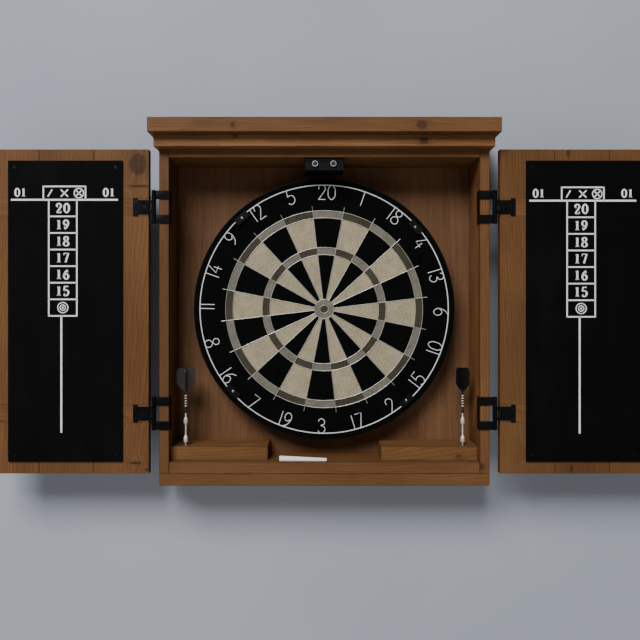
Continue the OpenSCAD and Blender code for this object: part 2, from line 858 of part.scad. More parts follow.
bracket_screws();
hanging_screw();
rear_spacers();
board_backing();
sisal_face();
steel_band();
spider();
bull_ring();
number_ring();
ring_clips();
dart_point(-1);  // left_dart_point
dart_barrel(-1);  // left_dart_barrel
dart_shaft(-1);  // left_dart_shaft
dart_flight(-1);  // left_dart_flight
dart_point(1);  // right_dart_point
dart_barrel(1);  // right_dart_barrel
dart_shaft(1);  // right_dart_shaft
dart_flight(1);  // right_dart_flight
chalk();
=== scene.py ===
"""A wall-hung dart board cabinet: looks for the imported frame, in metres, with the doors open at rest."""

import json
import math

import bmesh
import bpy
import numpy as np
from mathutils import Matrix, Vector

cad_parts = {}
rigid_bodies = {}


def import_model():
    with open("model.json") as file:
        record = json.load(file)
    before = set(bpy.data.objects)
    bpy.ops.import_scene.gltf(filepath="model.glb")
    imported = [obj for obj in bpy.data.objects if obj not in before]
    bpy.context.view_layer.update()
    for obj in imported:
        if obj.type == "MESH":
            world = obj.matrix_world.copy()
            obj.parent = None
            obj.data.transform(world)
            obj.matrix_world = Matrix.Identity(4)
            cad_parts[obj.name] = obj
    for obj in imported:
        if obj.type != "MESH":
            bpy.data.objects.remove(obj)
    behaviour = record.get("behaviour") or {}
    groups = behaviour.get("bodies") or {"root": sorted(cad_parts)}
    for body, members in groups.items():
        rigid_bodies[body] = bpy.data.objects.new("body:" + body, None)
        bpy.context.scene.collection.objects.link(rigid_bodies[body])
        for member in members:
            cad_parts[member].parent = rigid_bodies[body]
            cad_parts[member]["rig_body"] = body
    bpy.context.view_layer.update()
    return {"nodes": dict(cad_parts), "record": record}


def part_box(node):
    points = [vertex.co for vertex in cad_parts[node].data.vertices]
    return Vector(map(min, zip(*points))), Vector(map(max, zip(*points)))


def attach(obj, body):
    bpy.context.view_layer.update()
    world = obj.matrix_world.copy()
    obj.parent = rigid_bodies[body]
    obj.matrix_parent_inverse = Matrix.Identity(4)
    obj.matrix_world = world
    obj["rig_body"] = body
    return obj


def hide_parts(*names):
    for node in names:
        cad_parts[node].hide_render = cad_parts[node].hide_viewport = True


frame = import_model()
NODES = frame["nodes"]
BODY_OF = {node: piece["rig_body"] for node, piece in NODES.items()}
MM = 0.001
SHARP = math.radians(35)  # an edge that turns more than this keeps its crease


# ---------------------------------------------------------------- shader helpers

def place(tree, kind, inputs=None, **settings):
    """Adds one shader node; a value that is a socket is linked, anything else is set."""
    node = tree.nodes.new(kind)
    for key, value in settings.items():
        setattr(node, key, value)
    for key, value in (inputs or {}).items():
        if isinstance(value, bpy.types.NodeSocket):
            tree.links.new(value, node.inputs[key])
        else:
            node.inputs[key].default_value = value
    return node


def maths(tree, operation, a, b=0.0, clamp=False):
    return place(tree, "ShaderNodeMath", {0: a, 1: b}, operation=operation, use_clamp=clamp).outputs[0]


def times(tree, a, b):
    return maths(tree, "MULTIPLY", a, b)


def weighted(tree, a, share_a, b, share_b):
    """The sum of two values, each times its share."""
    return maths(tree, "ADD", times(tree, a, share_a), times(tree, b, share_b))


def split(tree, vector):
    """A vector's X, Y and Z."""
    return place(tree, "ShaderNodeSeparateXYZ", {0: vector}).outputs


def vector_maths(tree, operation, a, b=(0, 0, 0)):
    node = place(tree, "ShaderNodeVectorMath", {0: a, 1: b}, operation=operation)
    return node.outputs["Value" if operation in ("LENGTH", "DOT_PRODUCT", "DISTANCE") else "Vector"]


def noise(tree, vector, scale, detail=3.0, roughness=0.5):
    return place(tree, "ShaderNodeTexNoise",
                 {"Vector": vector, "Scale": scale, "Detail": detail, "Roughness": roughness}).outputs["Fac"]


def mix(tree, factor, a, b, blend="MIX"):
    """Mixes two colours."""
    node = tree.nodes.new("ShaderNodeMix")
    node.data_type = "RGBA"
    node.blend_type = blend
    for socket, value in ((node.inputs[0], factor), (node.inputs[6], a), (node.inputs[7], b)):
        if isinstance(value, bpy.types.NodeSocket):
            tree.links.new(value, socket)
        elif socket == node.inputs[0]:
            socket.default_value = value
        else:
            socket.default_value = (*value, 1.0) if len(value) == 3 else value
    return node.outputs[2]


def span(tree, value, low, high, to_low=0.0, to_high=1.0):
    """Maps low..high onto to_low..to_high, smoothly and clamped."""
    node = place(tree, "ShaderNodeMapRange",
                 {"Value": value, "From Min": low, "From Max": high, "To Min": to_low, "To Max": to_high},
                 interpolation_type="SMOOTHSTEP")
    return node.outputs[0]


def ramp(tree, value, stops):
    """A colour ramp from (place, colour) stops."""
    node = place(tree, "ShaderNodeValToRGB", {"Fac": value})
    elements = node.color_ramp.elements
    while len(elements) < len(stops):
        elements.new(0.5)
    for element, (at, colour) in zip(elements, stops):
        element.position = at
        element.color = (*colour, 1.0)
    return node.outputs["Color"]


def new_group(name, inputs, outputs):
    """A shader node group; inputs and outputs are (name, socket type, default) rows."""
    tree = bpy.data.node_groups.new(name, "ShaderNodeTree")
    for label, kind, default in inputs:
        socket = tree.interface.new_socket(label, in_out="INPUT", socket_type="NodeSocket" + kind)
        if default is not None:
            socket.default_value = default
    for label, kind in outputs:
        tree.interface.new_socket(label, in_out="OUTPUT", socket_type="NodeSocket" + kind)
    return tree, tree.nodes.new("NodeGroupInput").outputs, tree.nodes.new("NodeGroupOutput").inputs


def use_group(tree, group, inputs):
    """Places a node group and returns its outputs."""
    return place(tree, "ShaderNodeGroup", inputs, node_tree=group).outputs


def new_material(name, **shader):
    """A material with one Principled BSDF, whose plain numbers are given by name with _ for a space."""
    material = bpy.data.materials.new(name)
    material.use_nodes = True
    tree = material.node_tree
    surface = next(n for n in tree.nodes if n.type == "BSDF_PRINCIPLED")
    for key, value in shader.items():
        surface.inputs[key.replace("_", " ")].default_value = value
    position = tree.nodes.new("ShaderNodeTexCoord").outputs["Object"]
    return material, tree, surface, position


def bump(tree, surface, height, strength, distance):
    node = place(tree, "ShaderNodeBump", {"Height": height, "Strength": strength, "Distance": distance})
    tree.links.new(node.outputs["Normal"], surface.inputs["Normal"])


def coat(tree, surface, colour, roughness, height, strength, distance):
    """Links a surface's colour, its roughness and a bump."""
    tree.links.new(colour, surface.inputs["Base Color"])
    tree.links.new(roughness, surface.inputs["Roughness"])
    bump(tree, surface, height, strength, distance)


# ---------------------------------------------------------------- shared effects

def build_grain():
    """Flat-sawn softwood. Position has X along the grain, Y across it and Z into the board. The growth
    rings are the distance to a pith that slopes through the board, bent by slow noise, which gives
    straight lines with arches between them; knots push the lines aside."""
    tree, given, out = new_group(
        "softwood_grain",
        [("Position", "Vector", None), ("Offset", "Vector", (0, 0, 0)), ("Ring Width", "Float", 0.005),
         ("Slope", "Float", 0.06), ("Depth", "Float", 0.05)],
        [("Rings", "Float"), ("Fibre", "Float"), ("Patches", "Float")])
    moved = vector_maths(tree, "ADD", given["Position"], given["Offset"])
    stretched = vector_maths(tree, "MULTIPLY", moved, (3.0, 22.0, 22.0))
    wander = maths(tree, "SUBTRACT", noise(tree, stretched, 1.0, 2.0), 0.5)
    along, across, deep = split(tree, moved)
    sway = times(tree, wander, 0.03)
    side = maths(tree, "ADD", across, sway)
    down = maths(tree, "ADD", times(tree, along, given["Slope"]), given["Depth"])
    down = maths(tree, "ADD", down, deep)
    radius = maths(tree, "SQRT", weighted(tree, side, side, down, down))
    streaks = vector_maths(tree, "MULTIPLY", moved, (0.6, 60.0, 60.0))
    uneven = times(tree, noise(tree, streaks, 1.0, 1.0), 1.4)
    turns = maths(tree, "ADD", maths(tree, "DIVIDE", radius, given["Ring Width"]), uneven)
    phase = maths(tree, "FRACT", turns)
    rise = maths(tree, "POWER", phase, 2.2)
    fall = span(tree, phase, 0.93, 1.0, 1.0, 0.0)
    tree.links.new(times(tree, rise, fall), out["Rings"])
    fine = vector_maths(tree, "MULTIPLY", moved, (16.0, 900.0, 900.0))
    tree.links.new(noise(tree, fine, 1.0, 4.0, 0.65), out["Fibre"])
    patches = vector_maths(tree, "MULTIPLY", moved, (5.0, 12.0, 12.0))
    tree.links.new(noise(tree, patches, 1.0, 3.0), out["Patches"])
    return tree


def build_knot():
    """One knot at Centre, in the grain's own axes. Bent pushes the grain out around it; Core is its dark
    heart and Halo the stained ring about it; Whorl is the knot's own rings."""
    tree, given, out = new_group(
        "knot",
        [("Position", "Vector", None), ("Centre", "Vector", (0, 0, 0)), ("Length", "Float", 0.012),
         ("Width", "Float", 0.008)],
        [("Bent", "Vector"), ("Core", "Float"), ("Halo", "Float"), ("Whorl", "Float")])
    apart = vector_maths(tree, "SUBTRACT", given["Position"], given["Centre"])
    x, y, _ = split(tree, apart)
    along = maths(tree, "DIVIDE", x, given["Length"])
    across = maths(tree, "DIVIDE", y, given["Width"])
    ragged = times(tree, noise(tree, apart, 160.0, 2.0), 0.5)
    square = weighted(tree, along, along, across, across)
    distance = maths(tree, "ADD", maths(tree, "SQRT", square), maths(tree, "SUBTRACT", ragged, 0.25))
    wide = weighted(tree, times(tree, along, along), 0.1,
                    times(tree, across, across), 0.22)
    push = maths(tree, "EXPONENT", times(tree, wide, -1.0))
    shift = times(tree, times(tree, y, push), -0.75)
    shove = place(tree, "ShaderNodeCombineXYZ", {1: shift}).outputs[0]
    tree.links.new(vector_maths(tree, "ADD", given["Position"], shove), out["Bent"])
    tree.links.new(span(tree, distance, 0.75, 1.05, 1.0, 0.0), out["Core"])
    tree.links.new(span(tree, distance, 0.9, 2.4, 1.0, 0.0), out["Halo"])
    mottle = times(tree, noise(tree, apart, 420.0, 3.0, 0.65), 14.0)
    turns = maths(tree, "ADD", times(tree, distance, 9.0), mottle)
    tree.links.new(maths(tree, "SINE", turns), out["Whorl"])
    return tree


def build_edges():
    """How near a point on a box's surface lies to one of the box's edges: of its distances to the three
    pairs of sides the middle one. It is the mask of a painted shade line along the edges: 1 at an edge,
    fading over Width, broken up by noise."""
    tree, given, out = new_group(
        "edge_shade_lines",
        [("Position", "Vector", None), ("Low", "Vector", (0, 0, 0)), ("High", "Vector", (1, 1, 1)),
         ("Width", "Float", 0.003)],
        [("Seam Shade", "Float")])
    near = vector_maths(tree, "MINIMUM", vector_maths(tree, "SUBTRACT", given["Position"], given["Low"]),
                        vector_maths(tree, "SUBTRACT", given["High"], given["Position"]))
    x, y, z = split(tree, near)
    least = maths(tree, "MINIMUM", maths(tree, "MINIMUM", x, y), z)
    most = maths(tree, "MAXIMUM", maths(tree, "MAXIMUM", x, y), z)
    total = maths(tree, "ADD", maths(tree, "ADD", x, y), z)
    middle = maths(tree, "SUBTRACT", maths(tree, "SUBTRACT", total, least), most)
    rough = times(tree, noise(tree, given["Position"], 90.0, 4.0, 0.6), 1.6)
    reach = times(tree, given["Width"], rough)
    faded = maths(tree, "DIVIDE", middle, reach)
    tree.links.new(maths(tree, "SUBTRACT", 1.0, faded, clamp=True), out["Seam Shade"])
    return tree


def build_speckle():
    """Fine grit in two sizes: Fine for a surface's tooth and Coarse for slow unevenness."""
    tree, given, out = new_group(
        "speckle",
        [("Position", "Vector", None), ("Fine Scale", "Float", 900.0), ("Coarse Scale", "Float", 30.0)],
        [("Fine", "Float"), ("Coarse", "Float")])
    tree.links.new(noise(tree, given["Position"], given["Fine Scale"], 3.0, 0.6), out["Fine"])
    tree.links.new(noise(tree, given["Position"], given["Coarse Scale"], 3.0, 0.55), out["Coarse"])
    return tree


GRAIN = build_grain()
KNOT = build_knot()
EDGES = build_edges()
SPECKLE = build_speckle()


# ---------------------------------------------------------------- materials

STAIN_DARK = (0.055, 0.0214, 0.0075)
STAIN_MID = (0.14, 0.064, 0.0232)
STAIN_LIGHT = (0.214, 0.11, 0.0464)
KNOT_DARK = (0.02, 0.01, 0.006)


def grain_axes(tree, position, along):
    """Position with the grain's direction first, the other face axis second and depth last."""
    x, y, z = split(tree, position)
    first, second, third = {"x": (x, z, y), "z": (z, x, y), "y": (y, x, z)}[along]
    return place(tree, "ShaderNodeCombineXYZ", {0: first, 1: second, 2: third}).outputs[0]


def stained_pine(name, along, seed, low, high, knots=(), tone=1.0, slope=0.06, depth=0.05, ring=0.0034,
                 seam=0.0015):
    """Brown-stained pine, darkened along its edges with a painted shade line for the seams between boards.
    knots are (along, across, half length, half width) in metres, in the board's plane."""
    material, tree, surface, position = new_material(name, Specular_IOR_Level=0.14)
    axes = grain_axes(tree, position, along)
    bent, met = axes, {}
    for a, b, length, width in knots:
        knot = use_group(tree, KNOT, {"Position": bent, "Centre": (a, b, 0), "Length": length,
                                      "Width": width})
        bent = knot["Bent"]
        for part, pick in (("Core", "MAXIMUM"), ("Halo", "MAXIMUM"), ("Whorl", "MINIMUM")):
            met[part] = maths(tree, pick, met[part], knot[part]) if part in met else knot[part]
    grain = use_group(tree, GRAIN, {"Position": bent, "Offset": (seed * 0.37, seed * 0.013, seed * 0.007),
                                    "Slope": slope, "Depth": depth, "Ring Width": ring})
    shade = weighted(tree, grain["Fibre"], 0.55, grain["Patches"], 0.45)
    colour = ramp(tree, shade, [(0.22, tuple(c * tone for c in STAIN_DARK)),
                                (0.5, tuple(c * tone for c in STAIN_MID)),
                                (0.8, tuple(c * tone for c in STAIN_LIGHT))])
    colour = mix(tree, times(tree, grain["Rings"], 0.42), colour, STAIN_DARK)
    if met:
        colour = mix(tree, times(tree, met["Halo"], 0.35), colour, (0.085, 0.036, 0.013))
        rings = mix(tree, span(tree, met["Whorl"], -1.0, 1.0), KNOT_DARK, (0.075, 0.036, 0.016))
        colour = mix(tree, times(tree, met["Core"], 0.68), colour, rings)
    # painted shade: each board is darkened towards near black along all its edges, over the seam width, as
    # the shade lines in the seams between boards
    worn = use_group(tree, EDGES, {"Position": position, "Low": low, "High": high, "Width": seam})["Seam Shade"]
    colour = mix(tree, times(tree, worn, 0.75), colour, (0.018, 0.008, 0.004))
    height = maths(tree, "SUBTRACT", times(tree, grain["Fibre"], 0.6),
                   times(tree, grain["Rings"], 0.4))
    roughness = span(tree, grain["Fibre"], 0.2, 0.8, 0.66, 0.46)
    coat(tree, surface, colour, roughness, height, 0.35, 0.0006)
    return material


def sheet_wood(name, along, seed, dark, light, ring, roughness=0.6):
    """Plain veneer or sawn timber: quiet grain between two tones."""
    material, tree, surface, position = new_material(name, Specular_IOR_Level=0.12)
    grain = use_group(tree, GRAIN, {"Position": grain_axes(tree, position, along), "Slope": 0.02,
                                    "Depth": 0.35, "Offset": (seed * 0.37, seed * 0.013, 0.0),
                                    "Ring Width": ring})
    shade = weighted(tree, grain["Fibre"], 0.5, grain["Patches"], 0.5)
    colour = mix(tree, span(tree, shade, 0.25, 0.75), dark, light)
    colour = mix(tree, times(tree, grain["Rings"], 0.35), colour, dark)
    roughness = span(tree, grain["Fibre"], 0.2, 0.8, roughness + 0.1, roughness - 0.08)
    coat(tree, surface, colour, roughness, grain["Fibre"], 0.25, 0.0004)
    return material


def gritty(name, dark, light, roughness, fine=900.0, coarse=30.0, depth=0.0002, strength=0.3, metallic=0.0,
           **shader):
    """A coated, moulded or pressed surface: two near tones and a fine tooth."""
    material, tree, surface, position = new_material(name, Metallic=metallic, **shader)
    grit = use_group(tree, SPECKLE, {"Position": position, "Fine Scale": fine, "Coarse Scale": coarse})
    shade = weighted(tree, grit["Fine"], 0.6, grit["Coarse"], 0.4)
    roughness = span(tree, grit["Coarse"], 0.25, 0.75, roughness - 0.08, roughness + 0.1)
    colour = mix(tree, span(tree, shade, 0.3, 0.7), dark, light)
    coat(tree, surface, colour, roughness, grit["Fine"], strength, depth)
    return material


def sisal(name, dark, light):
    """Compressed fibre ends: a dense fleck at fibre size with a slow unevenness."""
    material, tree, surface, position = new_material(name, Specular_IOR_Level=0.03)
    grit = use_group(tree, SPECKLE, {"Position": position, "Fine Scale": 760.0, "Coarse Scale": 45.0})
    cells = place(tree, "ShaderNodeTexVoronoi", {"Vector": position, "Scale": 560.0}).outputs["Distance"]
    fleck = weighted(tree, grit["Fine"], 0.7, cells, 0.35)
    shade = weighted(tree, fleck, 0.72, grit["Coarse"], 0.28)
    roughness = span(tree, grit["Coarse"], 0.2, 0.8, 0.82, 0.95)
    coat(tree, surface, mix(tree, span(tree, shade, 0.34, 0.66), dark, light), roughness, fleck, 0.55, 0.0005)
    return material


def chalk_dusted(name):
    """Black chalkboard paint with the faint grey smear of wiped chalk."""
    material, tree, surface, position = new_material(name, Specular_IOR_Level=0.05)
    grit = use_group(tree, SPECKLE, {"Position": position, "Fine Scale": 1400.0, "Coarse Scale": 7.0})
    wiped = vector_maths(tree, "MULTIPLY", position, (26.0, 26.0, 5.0))
    smear = times(tree, noise(tree, wiped, 1.0, 5.0, 0.7), grit["Coarse"])
    colour = mix(tree, span(tree, smear, 0.22, 0.48), (0.0022, 0.0025, 0.0024), (0.0046, 0.0049, 0.0048))
    roughness = span(tree, grit["Fine"], 0.2, 0.8, 0.62, 0.8)
    coat(tree, surface, colour, roughness, grit["Fine"], 0.25, 0.0002)
    return material


def brushed(name, tone, roughness, direction=(900.0, 40.0, 900.0), metallic=1.0):
    """Bright metal with fine lines along one axis."""
    material, tree, surface, position = new_material(name, Metallic=metallic)
    lines = noise(tree, vector_maths(tree, "MULTIPLY", position, direction), 1.0, 3.0, 0.6)
    blotch = noise(tree, position, 120.0, 2.0)
    dull = tuple(c * 0.72 for c in tone)
    roughness = span(tree, lines, 0.2, 0.8, roughness - 0.1, roughness + 0.12)
    coat(tree, surface, mix(tree, span(tree, blotch, 0.3, 0.7), dull, tone), roughness, lines, 0.15, 0.0001)
    return material


METAL = {
    "black_iron": gritty("black_powder_coat", (0.002, 0.0024, 0.003), (0.005, 0.0056, 0.0064), 0.4,
                         1500.0, 60.0, 0.0002, 0.35, Specular_IOR_Level=0.07),
    "dark_screw": brushed("blackened_steel", (0.02, 0.02, 0.022), 0.42),
    "bright_steel": brushed("zinc_steel", (0.4, 0.4, 0.42), 0.4),
    "dart_steel": brushed("turned_steel", (0.86, 0.84, 0.79), 0.48, (900.0, 900.0, 40.0), 0.6),
    "spider_wire": brushed("drawn_wire", (0.52, 0.51, 0.48), 0.46, (300.0, 300.0, 300.0), 0.75),
    "band_steel": gritty("black_enamel_band", (0.002, 0.002, 0.002), (0.005, 0.005, 0.005), 0.5, 800.0,
                         Specular_IOR_Level=0.2),
    "clip_black": gritty("black_clip", (0.0015, 0.0015, 0.0015), (0.004, 0.004, 0.004), 0.6, 900.0,
                         Specular_IOR_Level=0.12),
}
PLASTIC = {
    "catch_plastic": gritty("catch_moulding", (0.002, 0.002, 0.002), (0.005, 0.005, 0.005), 0.6, 1100.0,
                             Specular_IOR_Level=0.12),
    "shaft_black": gritty("shaft_moulding", (0.006, 0.006, 0.006), (0.014, 0.014, 0.014), 0.4, 1500.0),
    "flight_black": gritty("black_film", (0.004, 0.004, 0.005), (0.009, 0.009, 0.01), 0.33, 700.0, 60.0,
                           0.0001, 0.2),
    "flight_grey": gritty("smoke_film", (0.011, 0.009, 0.008), (0.019, 0.016, 0.014), 0.36, 700.0, 60.0,
                          0.0001, 0.2),
    "rubber_pad": gritty("black_rubber", (0.01, 0.01, 0.01), (0.022, 0.022, 0.022), 0.8, 700.0),
    "ring_wire": gritty("white_coated_wire", (0.66, 0.67, 0.67), (0.84, 0.85, 0.85), 0.38, 900.0, 50.0,
                        0.0001),
    "white_print": gritty("white_screen_print", (0.8, 0.8, 0.8), (0.93, 0.93, 0.93), 0.7, 1600.0, 60.0,
                          0.0001),
    "chalk_white": gritty("chalk", (0.93, 0.86, 0.79), (1.0, 0.97, 0.92), 0.9, 1200.0, 80.0, 0.0004, 0.6),
}
OTHER = {
    "slate_black": chalk_dusted("chalkboard_paint"),
    "plywood": sheet_wood("stained_plywood", "z", 3.0, (0.075, 0.036, 0.0165), (0.205, 0.103, 0.05), 0.009),
    "raw_timber": sheet_wood("sawn_timber", "x", 5.0, (0.24, 0.14, 0.07), (0.42, 0.28, 0.16), 0.006, 0.75),
    "fibreboard": gritty("pressed_board", (0.2, 0.12, 0.06), (0.34, 0.22, 0.12), 0.85, 500.0, 40.0, 0.0003),
}
SISAL = {
    "black_sisal": sisal("black_dyed_sisal", (0.001, 0.0012, 0.0012), (0.004, 0.0044, 0.0042)),
    "cream_sisal": sisal("natural_sisal", (0.235, 0.2, 0.128), (0.42, 0.362, 0.24)),
    "light_band_sisal": sisal("light_band_sisal", (0.11, 0.1, 0.08), (0.205, 0.188, 0.152)),
    "dark_band_sisal": sisal("dark_band_sisal", (0.036, 0.03, 0.02), (0.07, 0.06, 0.042)),
}
FINISH = {**METAL, **PLASTIC, **OTHER, **SISAL}


# ---------------------------------------------------------------- geometry helpers

def register(piece, body, replaced=()):
    """Gives a piece its body and hides the frame nodes it stands for."""
    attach(piece, body)
    if replaced:
        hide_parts(*replaced)


def put(name, data):
    """A new object at the origin."""
    piece = bpy.data.objects.new(name, data)
    bpy.context.scene.collection.objects.link(piece)
    return piece


def add_piece(name, shape, body, slot, replaced=(), smooth=True):
    """A piece from arrays of (points, quads), welded and with outward normals, in its slot's finish. A
    quad with two corners at one place becomes a triangle."""
    mesh = bpy.data.meshes.new(name)
    mesh.from_pydata(shape[0].tolist(), [], shape[1].tolist())
    tidy = bmesh.new()
    tidy.from_mesh(mesh)
    bmesh.ops.remove_doubles(tidy, verts=tidy.verts, dist=1e-6)
    bmesh.ops.recalc_face_normals(tidy, faces=tidy.faces)
    tidy.to_mesh(mesh)
    tidy.free()
    mesh.materials.append(FINISH[slot])
    if smooth:
        mesh.shade_smooth()
        mesh.set_sharp_from_angle(angle=SHARP)
    register(put(name, mesh), body, replaced)


def grid_faces(rows, columns, wrap_rows=False, wrap_columns=False):
    """Quads of a grid of points laid out row by row; a wrapped direction joins its last to its first."""
    i = np.arange(rows if wrap_rows else rows - 1)
    j = np.arange(columns if wrap_columns else columns - 1)
    a, b = np.meshgrid(i, j, indexing="ij")
    c, d = (a + 1) % rows, (b + 1) % columns
    return np.stack([a * columns + b, c * columns + b, c * columns + d, a * columns + d], -1).reshape(-1, 4)


def tube_faces(rings, sides, closed):
    """Quads of a tube, given ring by ring; an open tube's end rings are closed by quads across them."""
    faces = grid_faces(rings, sides, wrap_rows=closed, wrap_columns=True)
    if closed:
        return faces
    k = np.arange(sides // 2 - 1)
    cap = np.stack([k, k + 1, sides - 2 - k, sides - 1 - k], -1)
    return np.concatenate([faces, cap, cap + (rings - 1) * sides])


def joined(parts):
    """Several (points, quads) pairs as one pair."""
    starts = np.cumsum([0] + [len(points) for points, _ in parts])
    return (np.concatenate([points for points, _ in parts]),
            np.concatenate([faces + start for (_, faces), start in zip(parts, starts)]))


GAP_SLACK = 0.05 * MM  # less than half of the narrowest gap between two boards of one node


def eased(node, ease, finish, segments=2, keep=None, name=None):
    """A copy of a frame node with its edges rounded by ease. keep=(axis, low, high) takes only the solids
    in that span, whose ends lie in the gaps between solids, so that boards that share a node can each have
    their own grain. finish is a material, or a function that makes one from the piece's two box corners."""
    name = name or node + "_piece"
    tidy = bmesh.new()
    tidy.from_mesh(NODES[node].data)
    bmesh.ops.remove_doubles(tidy, verts=tidy.verts, dist=2e-6)
    if keep:
        axis, low, high = keep
        for end, outward in ((low, -1.0), (high, 1.0)):
            normal = Vector((0.0, 0.0, 0.0))
            normal[axis] = outward
            bmesh.ops.bisect_plane(tidy, geom=tidy.verts[:] + tidy.edges[:] + tidy.faces[:], dist=1e-6,
                                   plane_co=normal * (outward * end + GAP_SLACK), plane_no=normal,
                                   clear_outer=True)
    bmesh.ops.dissolve_limit(tidy, angle_limit=math.radians(1.0), verts=tidy.verts, edges=tidy.edges)
    mesh = bpy.data.meshes.new(name)
    tidy.to_mesh(mesh)
    tidy.free()
    if callable(finish):
        corners = np.empty(len(mesh.vertices) * 3)
        mesh.vertices.foreach_get("co", corners)
        corners = corners.reshape(-1, 3)
        finish = finish(tuple(corners.min(0)), tuple(corners.max(0)))
    mesh.materials.append(finish)
    mesh.shade_smooth()
    mesh.set_sharp_from_angle(angle=SHARP)
    piece = put(name, mesh)
    bevel = piece.modifiers.new("eased_edges", "BEVEL")
    bevel.width = ease
    bevel.segments = segments
    bevel.limit_method = "ANGLE"
    bevel.angle_limit = SHARP
    bevel.harden_normals = True
    register(piece, BODY_OF[node], [node])


def lathe(profile, centre, sides=40, axis="z"):
    """A profile of (radius, place) carried round an axis through centre."""
    profile = np.asarray(profile, float)
    turn = np.arange(sides) * 2 * math.pi / sides
    radius, at = profile[:, 0, None], profile[:, 1, None]
    x, y, z = radius * np.cos(turn), radius * np.sin(turn), at + 0 * turn
    points = np.stack([x, y, z] if axis == "z" else [x, z, y], -1) + np.asarray(centre, float)
    return points.reshape(-1, 3), grid_faces(len(profile), sides, wrap_columns=True)


def smooth_path(points, closed=False, steps=6):
    """A Catmull-Rom curve through points in the plane: each span is the cubic that leaves and arrives
    along the lines between the neighbours."""
    p = np.asarray(points, float)
    if closed:
        before, after, last = np.roll(p, 1, 0), np.roll(p, -1, 0), np.roll(p, -2, 0)
    else:
        padded = np.concatenate([[2 * p[0] - p[1]], p, [2 * p[-1] - p[-2]]])
        before, p, after, last = padded[:-3], padded[1:-2], padded[2:-1], padded[3:]
    t = np.arange(steps)[None, :, None] / steps
    a, b, c, d = (q[:, None, :] for q in (before, p, after, last))
    curve = 0.5 * (2 * b + (c - a) * t + (2 * a - 5 * b + 4 * c - d) * t ** 2
                   + (3 * b - a - 3 * c + d) * t ** 3)
    curve = curve.reshape(-1, 2)
    return curve if closed else np.concatenate([curve, [points[-1]]])


def headings(path, closed):
    """Unit directions along a path, each from the point before to the point after."""
    ahead = np.roll(path, -1, 0) - np.roll(path, 1, 0)
    if not closed:
        ahead[0], ahead[-1] = path[1] - path[0], path[-1] - path[-2]
    return ahead / np.maximum(np.linalg.norm(ahead, axis=1, keepdims=True), 1e-12)


def flat_wire(path, radius, y, closed=False, sides=8):
    """Round wire along a path in the XZ plane at depth y. Each ring of the tube is spanned by the path's
    own normal in the plane and by Y."""
    path = np.asarray(path, float)
    ahead = headings(path, closed)
    turn = np.arange(sides) * 2 * math.pi / sides
    out = radius * np.cos(turn)[None, :]
    points = np.stack([path[:, :1] - ahead[:, 1:] * out,
                       y + radius * np.sin(turn)[None, :] + 0 * path[:, :1],
                       path[:, 1:] + ahead[:, :1] * out], -1).reshape(-1, 3)
    return points, tube_faces(len(path), sides, closed)


def circle_path(radius, steps=160, centre=(0, 0)):
    turn = np.arange(steps) * 2 * math.pi / steps
    return np.stack([centre[0] + radius * np.sin(turn), centre[1] + radius * np.cos(turn)], -1)


# ---------------------------------------------------------------- numerals

# Each digit's strokes in a box 0.6 wide and 1 high: (points, smooth, closed)
DIGITS = {
    "0": [([(0.3, 1.0), (0.53, 0.8), (0.57, 0.5), (0.53, 0.2), (0.3, 0.0), (0.07, 0.2), (0.03, 0.5),
            (0.07, 0.8)], True, True)],
    "1": [([(0.3, 0.0), (0.3, 1.0)], False, False)],
    "2": [([(0.05, 0.7), (0.1, 0.92), (0.3, 1.0), (0.5, 0.9), (0.54, 0.7), (0.4, 0.46), (0.05, 0.0)],
           True, False), ([(0.05, 0.0), (0.57, 0.0)], False, False)],
    "3": [([(0.06, 0.8), (0.14, 0.95), (0.32, 1.0), (0.52, 0.84), (0.47, 0.62), (0.26, 0.54), (0.5, 0.44),
            (0.56, 0.22), (0.38, 0.02), (0.18, 0.02), (0.04, 0.18)], True, False)],
    "4": [([(0.58, 0.3), (0.04, 0.3), (0.42, 1.0)], False, False),
          ([(0.42, 0.58), (0.42, 0.0)], False, False)],
    "5": [([(0.52, 1.0), (0.12, 1.0), (0.08, 0.55)], False, False),
          ([(0.08, 0.55), (0.3, 0.62), (0.52, 0.5), (0.56, 0.26), (0.42, 0.04), (0.2, 0.0), (0.04, 0.12)],
           True, False)],
    "6": [([(0.5, 0.98), (0.24, 0.8), (0.08, 0.5), (0.06, 0.22), (0.22, 0.02), (0.42, 0.02), (0.56, 0.22),
            (0.5, 0.46), (0.3, 0.56), (0.1, 0.42)], True, False)],
    "7": [([(0.04, 1.0), (0.56, 1.0), (0.24, 0.0)], False, False)],
    "8": [([(0.3, 0.54), (0.5, 0.68), (0.5, 0.9), (0.3, 1.0), (0.1, 0.9), (0.1, 0.68), (0.3, 0.54),
            (0.54, 0.36), (0.54, 0.1), (0.3, 0.0), (0.06, 0.1), (0.06, 0.36)], True, True)],
}
DIGITS["9"] = [([(0.6 - x, 1.0 - z) for x, z in DIGITS["6"][0][0]], True, False)]


def digit_places(text, gap, one):
    """Each digit with its middle, in digit heights, for a row centred on 0; one is a 1's own width."""
    widths = np.array([one if d == "1" else 0.55 for d in text])
    ends = np.cumsum(widths + gap)
    return list(zip(text, ends - gap - widths / 2 - (ends[-1] - gap) / 2))


def digit_paths(text, height, gap=0.12, tab=0.0, one=0.16):
    """The strokes of a number, centred on the origin, as (path, closed) pairs. gap is the space between two
    digits as a part of the height. tab is 1 or -1 to give a 1 a short foot to the left at its top or end."""
    for digit, middle in digit_places(text, gap, one):
        for points, smooth, closed in DIGITS[digit]:
            path = smooth_path(points, closed) if smooth else np.asarray(points, float)
            path = (path - (0.3, 0.5)) * (0.92, 1.0) + (middle, 0.0)
            yield path * height, closed
        if digit == "1" and tab:
            foot = np.array([(middle, 0.3), (middle - 0.01, 0.44), (middle - 0.07, 0.5),
                             (middle - 0.15, 0.49)])
            yield smooth_path(foot * (1.0, tab)) * height, False


# ---------------------------------------------------------------- wooden boards

